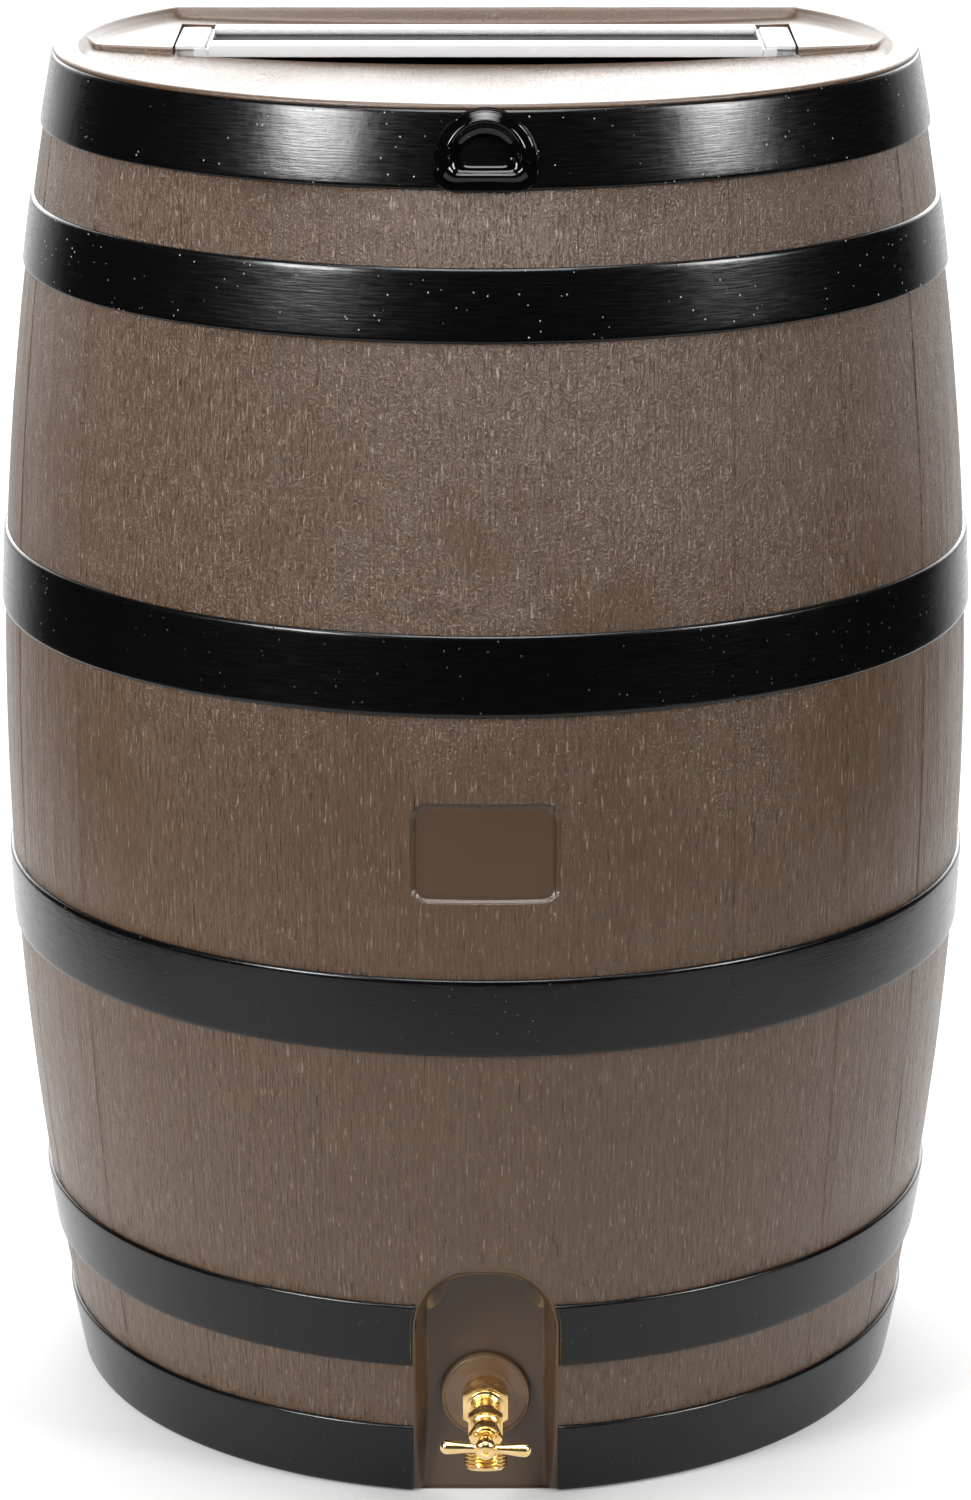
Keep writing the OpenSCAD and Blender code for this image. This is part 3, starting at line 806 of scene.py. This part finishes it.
def make_hoop(node, low, high, split, seed):
    b = Builder()
    right, u_right = hoop_half(low, high, 1, split, seed)
    left, u_left = hoop_half(low, high, -1, split, seed + (1 if split else 0))
    if split:
        bands = [(right, u_right), (left[:, ::-1], u_left[:, ::-1])]
    else:
        sides = ((left, right), (u_left, u_right))
        bands = [[np.concatenate([one[:, :0:-1], other], 1) for one, other in sides]]
    for points, u in bands:
        index = b.add(points).reshape(u.shape)
        uv = np.stack([u, points[:, :, 2]], -1)
        b.grid(index, uv)
        # The sunk back face and the two ends close the band
        b.grid(np.stack([index[-1], index[0]]), uv[[-1, 0]])
        for end, flip in ((index[:, 0], True), (index[:, -1], False)):
            b.fan(end, points[:, 0 if flip else -1].mean(0), flip)
    piece = b.build(node + "_paint", 50, outward=False)
    stand_for(piece, "barrel", "hoop_black", paint_material, node)


# The two lowest hoops stop at the alcove's sides
SPLIT_HOOPS = ("hoop_base", "hoop_lower")
WHOLE_HOOPS = ("hoop_below_belly", "hoop_above_belly", "hoop_upper", "hoop_rim")
for number, node in enumerate(SPLIT_HOOPS + WHOLE_HOOPS):
    low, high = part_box(node)
    bottom = low.z + (0.6 * MM if node == "hoop_base" else 0)
    top = high.z - (2.7 * MM if node == "hoop_rim" else 0)
    make_hoop(node, bottom, top, node in SPLIT_HOOPS, 60 + 3 * number)


# ---------- Overflow ----------

def d_outline(half, z0, z1, corner):
    """A D that lies on its flat side, as (x, z) points anticlockwise from the right."""
    def arc(x, z, r, start, end, count):
        return [(x + r * math.cos(a), z + r * math.sin(a)) for a in np.linspace(start, end, count)]

    inset = half - corner
    crown = arc(0, z1 - half, half, 0, math.pi, 41)
    left = arc(-inset, z0 + corner, corner, math.pi, 1.5 * math.pi, 7)
    right = arc(inset, z0 + corner, corner, 1.5 * math.pi, 2 * math.pi, 7)[:-1]
    flat = [(inset * (2 * t - 1), z0) for t in np.linspace(0, 1, 9)[1:-1]]
    return np.array(crown + left + flat + right)


def make_overflow():
    crest = -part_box("overflow_boss")[0].y
    b = Builder()
    surface_r = stave_r(HEIGHT - 24 * MM) + HOOP_PROUD
    # Each row in mm: half width, bottom, top, corner radius, and how far it stands out of the hoop
    skirt = [(29.8, 803.2, 850.1, 11.0, -1.5), (29.6, 803.4, 849.4, 10.8, 0.05),
        (29.0, 804.0, 849.0, 10.4, 0.6)]
    # The same, but with the depth below the ridge's crest
    ridge = [(28.6, 804.5, 848.7, 10.2, 5.4), (27.9, 805.3, 848.1, 9.8, 4.9), (27.0, 806.3, 847.3, 9.2, 4.2),
        (25.4, 808.2, 846.1, 8.2, 2.6), (24.0, 809.9, 845.0, 7.6, 1.1), (23.2, 810.8, 844.4, 7.3, 0.35),
        (22.6, 811.4, 843.9, 7.0, 0.05), (22.0, 812.0, 843.4, 6.8, 0), (21.4, 812.6, 843.0, 6.5, 0.12),
        (20.8, 813.2, 842.5, 6.2, 0.5), (19.8, 814.0, 841.7, 5.8, 1.6), (18.6, 814.9, 840.7, 5.4, 3.0),
        (17.2, 815.9, 839.4, 5.0, 4.3), (15.2, 817.1, 837.6, 5.0, 5.5), (12.6, 818.8, 835.2, 4.6, 6.3),
        (9.0, 821.2, 832.0, 3.6, 6.8), (4.5, 824.2, 828.6, 1.8, 7.0)]
    stack = []
    for number, row in enumerate(skirt + ridge):
        half, z0, z1, corner, reach = (value * MM for value in row)
        x, z = d_outline(half, z0, z1, corner).T
        skin = np.sqrt((stave_r(z) + HOOP_PROUD) ** 2 - x * x)
        if number < len(skirt):
            distance = skin + reach
        else:
            clear = skin + 0.7 * MM if crest - reach > surface_r else 0 * skin
            distance = np.maximum(crest - reach, clear)
        stack.append(np.column_stack([x, -distance, z]))
    index = np.array([b.add(row) for row in stack])
    u = np.linspace(0, 0.15, index.shape[1] + 1)
    v = np.linspace(0, 0.04, len(index))
    # The outline runs anticlockwise seen from behind, so the rows are taken inward first
    b.grid(index[::-1], np.stack(np.meshgrid(u, v), -1), closed=True)
    b.fan(index[-1], stack[-1].mean(0), flip=True)
    b.fan(index[0], stack[0].mean(0) + (0, 3 * MM, 0))
    stand_for(b.build("overflow_bezel", 60), "barrel", "hoop_black", bezel_material, "overflow_boss")


make_overflow()

# ---------- Screen ----------

def rounded_line(points, radius, steps=4, closed=False):
    """A polyline with its corners rounded; radius is one number or one for each point."""
    count = len(points)
    line = [Vector(p) for p in points]
    made = []
    for i, r in enumerate(np.broadcast_to(radius, (count,))):
        p = line[i]
        if r <= 0 or (not closed and i in (0, count - 1)):
            made.append(tuple(p))
            continue
        into, out = p - line[i - 1], line[(i + 1) % count] - p
        cut = min(r * math.tan(into.angle(out, 0) / 2), into.length * 0.45, out.length * 0.45)
        p0, p1 = p - into.normalized() * cut, p + out.normalized() * cut
        made += [tuple(p0.lerp(p, t).lerp(p.lerp(p1, t), t)) for t in np.linspace(0, 1, steps + 1)]
    return made


def rail_section(width):
    """A rail's outline as (y, z) in mm: a lip for the mesh, the box, and two fine lines along its top."""
    line = [3.2, 3.35, 3.65, 3.8]
    dip = [8, 7.75, 7.75, 8]
    points = [(-4, 1.8), (0, 1.8), (0, 0), (width, 0), (width, 8)]
    points += [(width - y, z) for y, z in zip(line, dip)] + [(y, z) for y, z in zip(line[::-1], dip)]
    points += [(0, 8), (0, 3), (-4, 3)]
    return rounded_line(points, [0.2, 0.2, 0.5, 0.5, 0.9] + [0.1] * 8 + [0.9, 0.3, 0.2], 3, closed=True)


def make_rail(node, near, direction):
    """A rail pulled along X; near is its inner face and direction the way it grows from there."""
    low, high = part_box(node)
    b = Builder()
    section = [(near + direction * y * MM, low.z + z * MM) for y, z in rail_section(19)]
    xs = np.linspace(low.x, high.x, 13)
    index = [b.add([(x, y, z) for y, z in section]) for x in xs]
    b.tube(index)
    middle = np.mean(section, 0)
    b.fan(index[0], (xs[0], *middle), True)
    b.fan(index[-1], (xs[-1], *middle))
    name = node.replace("screen_", "") + "_skin"
    stand_for(b.build(name, 40), "screen", "screen_rail", rail_material, node)


def prism(b, x0, x1, y0, y1, z0, z1):
    """An upright block with rounded corners."""
    outline = rounded_line([(x0, y0), (x1, y0), (x1, y1), (x0, y1)], 0.8 * MM, 3, closed=True)
    middle = np.mean(outline, 0)
    low, high = (b.add([(x, y, z) for x, y in outline]) for z in (z0, z1))
    b.tube([low, high])
    b.fan(low, (*middle, z0), True)
    b.fan(high, (*middle, z1))


def cap_pad(b, x0, x1, y0, y1, z0, z1):
    """The pad on a cap: rounded long edges, a cut-back front and a faintly crowned top."""
    xs = np.linspace(x0, x1, 21)
    ys = np.concatenate([[y0, y0 + 0.02 * MM, y0 + 0.25 * MM], np.linspace(y0 + 2.6 * MM, y0 + 3.4 * MM, 3),
        np.linspace(y0 + 6 * MM, y1 - 3 * MM, 14), y1 - np.array([1.4, 0.8, 0.4, 0.1, 0.0]) * MM])
    gx, gy = np.meshgrid(xs, ys)
    middle = ((x0 + x1) / 2, (y0 + y1) / 2)
    edge_r = 1.3 * MM

    def rounding(inward):
        return edge_r - np.sqrt(np.maximum(edge_r ** 2 - np.maximum(edge_r - inward, 0) ** 2, 0))

    front_cut = 1.9 * MM * np.clip(1 - (gy - y0) / (3 * MM), 0, 1) ** 1.15
    crown = 0.25 * MM * (((gx - middle[0]) / ((x1 - x0) / 2)) ** 2)
    gz = z1 - crown - rounding(np.minimum(gx - x0, x1 - gx)) - 0.8 * rounding(y1 - gy) - front_cut
    points = np.stack([gx, gy, gz], -1)
    top = b.add(points).reshape(gx.shape)
    b.grid(top, np.zeros((*gx.shape, 2)))
    border = np.concatenate([top[0, :-1], top[:-1, -1], top[-1, :0:-1], top[:0:-1, 0]])
    low = b.add(points.reshape(-1, 3)[border - top[0, 0]] * (1, 1, 0) + (0, 0, z0))
    b.tube([low, border])
    b.fan(low, (*middle, z0), True)


def make_cap(side, node):
    low, high = cap_right
    b = Builder()
    web_top = low.z + 5 * MM
    rail_end = rail_front[1].x
    y0 = rail_front[0].y
    prism(b, rail_end + 0.03 * MM, rail_end + 9 * MM, y0, rail_back[1].y, low.z, web_top)
    prism(b, rail_end + 4 * MM, high.x - 1 * MM, y0 + 4 * MM, y0 + 75 * MM, low.z, web_top)
    cap_pad(b, high.x - 19 * MM, high.x, y0 + 2 * MM, y0 + 77 * MM, web_top - 0.3 * MM, high.z)
    stand_for(b.build(node + "_skin", 45, mirror=side), "screen", "screen_cap", cap_material, node)


def make_mesh():
    low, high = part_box("screen_mesh")
    b = Builder()
    pitch, wire = 1.45 * MM, 0.16 * MM
    z = (low.z + high.z) / 2
    for y in np.arange(low.y + pitch / 2, high.y, pitch):
        block(b, (low.x, y - wire, z), (high.x, y + wire, z + wire * 1.3))
    for x in np.arange(low.x + pitch / 2, high.x, pitch):
        block(b, (x - wire, low.y, z - wire * 1.3), (x + wire, high.y, z + wire * 0.3))
    piece = b.build("insect_mesh", 30, outward=False)
    stand_for(piece, "screen", "mesh", mesh_material, "screen_mesh")


def revolve(b, rows, angle, matrix, ends=None):
    """Joins rings of (along local Z, radius) in mm into a skin, closed at the two places given as ends."""
    index = []
    for s, r in rows:
        s = np.broadcast_to(s, angle.shape)
        index.append(b.add(placed(np.column_stack([r * np.cos(angle), r * np.sin(angle), s]) * MM, matrix)))
    b.tube(index)
    if ends:
        b.fan(index[0], placed((0, 0, ends[0] * MM), matrix), True)
        b.fan(index[-1], placed((0, 0, ends[1] * MM), matrix))


def lathe(b, profile, matrix, segments=96):
    """Turns (along local Z, radius) points in mm round the local Z axis and closes both ends."""
    angle = np.linspace(0, 2 * math.pi, segments, endpoint=False)
    revolve(b, profile, angle, matrix, (profile[0][0], profile[-1][0]))


def make_splines():
    low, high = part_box("screen_spline")
    r = (high.z - low.z) / 2 / MM
    b = Builder()
    for y in (low.y + r * MM, high.y - r * MM):
        matrix = Matrix.Translation((low.x, y, low.z + r * MM)) @ Matrix.Rotation(math.pi / 2, 4, "Y")
        s = np.arange(0, (high.x - low.x) / MM, 0.55)
        lathe(b, list(zip(s, r * (0.90 + 0.10 * np.cos(2 * math.pi * s / 2.2)))), matrix, 20)
    stand_for(b.build("ribbed_spline", 60), "screen", "seal", spline_material, "screen_spline")


make_rail("screen_rail_front", rail_front[0].y + 19 * MM, -1)
make_rail("screen_rail_back", rail_back[1].y - 19 * MM, 1)
make_cap(1, "screen_cap_right")
make_cap(-1, "screen_cap_left")
make_mesh()
make_splines()

# ---------- Tap ----------

# Local Z runs outward from the alcove's floor, local Y is up
TAP = Matrix.Translation((0, -ALCOVE_Y, TAP_Z)) @ Matrix.Rotation(math.pi / 2, 4, "X")


def turned(b, points, radius, matrix=TAP):
    """A lathe whose profile has rounded corners."""
    lathe(b, rounded_line(points, radius), matrix)


def hexagon(b, s0, s1, across, turn=0.0):
    """A nut's body in mm, with a corner up, rounded corners and turned-off ends."""
    flat, soft = across / 2, 0.45
    step = np.radians([0, 0.6, 1.2, 1.9, 3.5, 7, 12, 20, 30, 40, 48, 53, 56.5, 58.1, 58.8, 59.4])
    angle = np.concatenate([step + math.radians(60 * k) for k in range(6)])
    off = np.abs((angle + math.pi / 6) % (math.pi / 3) - math.pi / 6)
    reach = (flat - soft) / math.cos(math.pi / 6)
    side = flat / np.cos(math.pi / 6 - off)
    arc = reach * np.cos(off) + np.sqrt(np.maximum(soft ** 2 - (reach * np.sin(off)) ** 2, 0))
    r = np.where(np.abs(reach * np.sin(off)) < soft, np.minimum(arc, side), side)
    low_r = flat - 0.3
    cross = (r - low_r) / 2
    rows = [(s0, low_r - 0.5), (s0, low_r), (s0 + cross, r), (s0 + cross + 0.25, r),
        (s1 - cross - 0.25, r), (s1 - cross, r), (s1, low_r), (s1, low_r - 0.5)]
    revolve(b, rows, angle + math.radians(turn) + math.pi / 2, TAP, (s0, s1))


def brass_piece(b, node, body, name, sharp=32):
    stand_for(b.build(name, sharp), body, "brass", brass_material, node)


def make_flange():
    b = Builder()
    r = FLANGE_R / MM
    turned(b, [(-13, 16.9), (0.0, 16.9), (0.0, r), (3.2, r), (4.9, r - 1.0), (4.95, r - 1.9), (4.2, r - 2.7),
        (4.1, 17.5), (4.7, 16.4), (4.9, 15.2), (4.9, 12.96)], 0.5)
    stand_for(b.build("fitting_flange", 32), "barrel", "fitting_brown", fitting_material, "tap_fitting")


def hose_thread(b, matrix):
    """A helix on the outlet's root cylinder, ending in a chamfered open mouth."""
    pitch, root, crest = 2.2, 11.75, 13.4
    angle = np.linspace(0, 2 * math.pi, 90, endpoint=False)
    rows = [(21.5, 6.6), (21.6, 11.7)]
    for s in np.arange(22.0, 33.4, 0.18):
        phase = (s / pitch - angle / (2 * math.pi)) % 1
        wave = np.clip(1.75 * (1 - 2 * np.abs(phase - 0.5)) - 0.35, 0, 1)
        fade = min(max((s - 22.2) / 1.2, 0), 1) * min(max((33.2 - s) / 1.5, 0), 1)
        rows.append((s, root + (crest - root) * wave * fade))
    rows += [(33.6, 11.3), (34.0, 10.7), (34.0, 9.6), (33.6, 9.2), (20.5, 9.2), (20.4, 6.5), (4.0, 6.5)]
    revolve(b, rows, angle, matrix)


def make_body():
    b = Builder()
    turned(b, [(-13, 12.9), (5.1, 12.9), (5.2, 13.6), (13.6, 13.6), (14.2, 12.9), (15, 12.7)],
        [0, 0.1, 0.5, 0.7, 0.2, 0])
    hexagon(b, 14, 22, 27.2)
    turned(b, [(21, 11.6), (22.4, 11.4), (23.1, 9.2), (30, 9.2), (38.2, 9.2), (38.8, 9.9), (41.3, 9.9),
        (41.4, 7.5)], [0, 0.5, 1.2, 0, 0.4, 0.3, 0.3, 0])
    outlet = TAP @ Matrix.Translation((0, 0, 28 * MM)) @ Matrix.Rotation(math.radians(73), 4, "X")
    turned(b, [(0, 9.4), (19.4, 9.4), (20.4, 11.4), (21.4, 11.9), (22.4, 11.9)],
        [0, 0.9, 0.8, 0.4, 0], outlet)
    hose_thread(b, outlet)
    brass_piece(b, "tap_body", "barrel", "tap_casting")


def make_bonnet():
    b = Builder()
    turned(b, [(37, 6.9), (41.5, 6.9), (41.6, 9.2)], 0)
    hexagon(b, 41.5, 49, 20.6)
    turned(b, [(48, 8.6), (49.5, 8.4), (50.3, 7.4), (51.4, 7.4), (52.2, 8.0), (57.2, 8.0), (58.2, 7.4),
        (58.9, 6.9)], [0, 0.4, 0.5, 0.5, 0.4, 0.8, 0.3, 0])
    turned(b, [(58, 6.8), (62.6, 6.8), (63, 6.4)], 0.2)
    brass_piece(b, "tap_bonnet", "barrel", "tap_bonnet_skin")


def make_packing_nut():
    b = Builder()
    hexagon(b, 59, 66, 17.6, 26)
    turned(b, [(65, 7.6), (66.3, 7.5), (67.0, 6.2), (67.2, 3.5)], [0, 0.4, 0.5, 0])
    brass_piece(b, "packing_nut", "barrel", "packing_nut_skin")


def make_handle():
    """The tee: a turned hub with two flaring arms, made one skin by a remesh."""
    b = Builder()
    hub = TAP @ Matrix.Rotation(math.radians(-2.4), 4, "Z")
    turned(b, [(71.5, 4.3), (72.0, 4.8), (74.6, 4.8), (76.0, 5.9), (82.2, 5.9), (83.0, 5.2)],
        [0, 0.3, 0.9, 0.9, 0.6, 0], hub)
    for side in (-90, 90):
        arm = hub @ Matrix.Translation((0, 0, 79 * MM)) @ Matrix.Rotation(math.radians(side), 4, "Y")
        profile = [(0, 3.4), (4.5, 3.1), (7.5, 2.8), (11, 2.95), (16, 3.55), (20.6, 4.15)]
        tip = [(23.0 + 4.3 * math.sin(a), 4.3 * math.cos(a)) for a in np.linspace(-0.2, 1.5, 9)]
        lathe(b, profile + tip, arm, 40)
    piece = b.build("tee_handle_skin", 180)
    remesh = piece.modifiers.new("skin", "REMESH")
    remesh.mode = "VOXEL"
    remesh.voxel_size = 0.32 * MM
    soften = piece.modifiers.new("soften", "SMOOTH")
    soften.factor = 0.5
    soften.iterations = 5
    depsgraph = bpy.context.evaluated_depsgraph_get()
    mesh = bpy.data.meshes.new_from_object(piece.evaluated_get(depsgraph))
    piece.modifiers.clear()
    piece.data = mesh
    mesh.shade_smooth()
    stand_for(piece, "handle", "brass", brass_material, "tee_handle")


def make_screw():
    """A pan head with a cross recess."""
    b = Builder()
    angle = np.linspace(0, 2 * math.pi, 96, endpoint=False)
    turned_angle = angle - math.radians(20)
    base, shoulder, head_r = 83.05, 83.9, 5.25
    rows = [(base, 4.6), (83.1, 5.15), (83.4, head_r), (shoulder, 5.2)]
    for r in np.linspace(5.0, 0.15, 40):
        along, across = np.abs(r * np.cos(turned_angle)), np.abs(r * np.sin(turned_angle))
        slot = np.maximum(smooth((0.75 - across) / 0.45) * smooth((2.7 - along) / 0.9),
            smooth((0.75 - along) / 0.45) * smooth((2.7 - across) / 0.9))
        rows.append((shoulder + 1.3 * math.sqrt(1 - (r / head_r) ** 2) - 1.25 * slot, r))
    revolve(b, rows, angle, TAP, (base, shoulder))
    brass_piece(b, "handle_screw", "handle", "handle_screw_skin", sharp=50)


make_flange()
make_body()
make_bonnet()
make_packing_nut()
make_handle()
make_screw()

for node, material in (("valve_stem", brass_material), ("washer_screw", brass_material),
        ("seat_washer", seal_material), ("stem_packing", seal_material)):
    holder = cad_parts[node]
    holder.data.materials.clear()
    holder.data.materials.append(material)


# ---------- Studio ----------

def make_floor():
    """The floor under the barrel, brighter towards the back so that it meets the white backdrop."""
    (x0, y0), (x1, y1), z = (-1.1, -1.2), (1.1, 7.5), -0.0005
    mesh = bpy.data.meshes.new("floor")
    mesh.from_pydata([(x0, y0, z), (x1, y0, z), (x1, y1, z), (x0, y1, z)], [], [(0, 1, 2, 3)])
    material, tree, bsdf = shader("floor", (0.45, 0.45, 0.45), 0.9)
    bsdf.inputs["Emission Color"].default_value = rgb(1, 1, 1)
    tree.links.new(ranged(tree, along(tree, "Y"), -0.25, 0.7, 0.20, 1.0), bsdf.inputs["Emission Strength"])
    mesh.materials.append(material)
    linked("floor", mesh)


def softbox(name, azimuth, elevation, distance, width, tall, power):
    """An area light that faces the barrel; azimuth 0 is in front and 90 to the right."""
    a, e = math.radians(azimuth), math.radians(elevation)
    aim = Vector((0, 0, 0.5))
    away = Vector((math.sin(a) * math.cos(e), -math.cos(a) * math.cos(e), math.sin(e)))
    data = bpy.data.lights.new(name, "AREA")
    data.shape = "RECTANGLE"
    data.size, data.size_y, data.energy = width, tall, power
    lamp = linked(name, data)
    lamp.location = aim + away * distance
    lamp.rotation_euler = (-away).to_track_quat("-Z", "Y").to_euler()
    return lamp


make_floor()
softbox("left_box", -47, 30, 3.0, 0.85, 1.5, 88)
softbox("right_box", 58, 28, 3.0, 0.8, 1.5, 80)
# The three cards only show as reflections
for name, *place in (("crest_card", -2, 58, 2.3, 1.3, 0.9, 40), ("left_card", -41, 20, 3.0, 0.9, 0.6, 42),
        ("right_card", 64, 20, 3.0, 0.9, 0.6, 24)):
    softbox(name, *place).visible_diffuse = False
top_box = softbox("top_box", 0, 88, 1.5, 1.3, 0.9, 4)
top_box.data.spread = math.radians(48)
side_fill = softbox("side_fill", -80, 10, 3.2, 1.2, 2.4, 44)
side_fill.visible_glossy = False

world = bpy.data.worlds.new("studio")
bpy.context.scene.world = world
world.use_nodes = True
sky = world.node_tree
toward = put(sky, "SeparateXYZ", {0: put(sky, "TexCoord").outputs["Generated"]})
behind = ranged(sky, toward.outputs["Y"], 0.62, 0.92)
# The backdrop is brightest above the horizon, where only the top of the barrel mirrors it
glow = times(sky, behind, ranged(sky, toward.outputs["Z"], 0.03, 0.2, 1.3, 6.6))
glow = math_node(sky, "MAXIMUM", glow, 0.006)
seen = mix_colour(sky, put(sky, "LightPath").outputs["Is Camera Ray"], glow, rgb(1.0, 1.0, 1.0))
sky.links.new(seen, sky.nodes["Background"].inputs["Color"])

camera_data = bpy.data.cameras.new("camera")
camera = linked("camera", camera_data)
camera.location = (0, -2.8655, 1.2456)
camera.rotation_euler = (math.pi / 2 - 0.288207, 0, 0)
camera_data.sensor_fit = "VERTICAL"
camera_data.sensor_height = 24
camera_data.lens = 74.54
camera_data.clip_end = 50
bpy.context.scene.camera = camera
bpy.context.scene.view_settings.view_transform = "Standard"
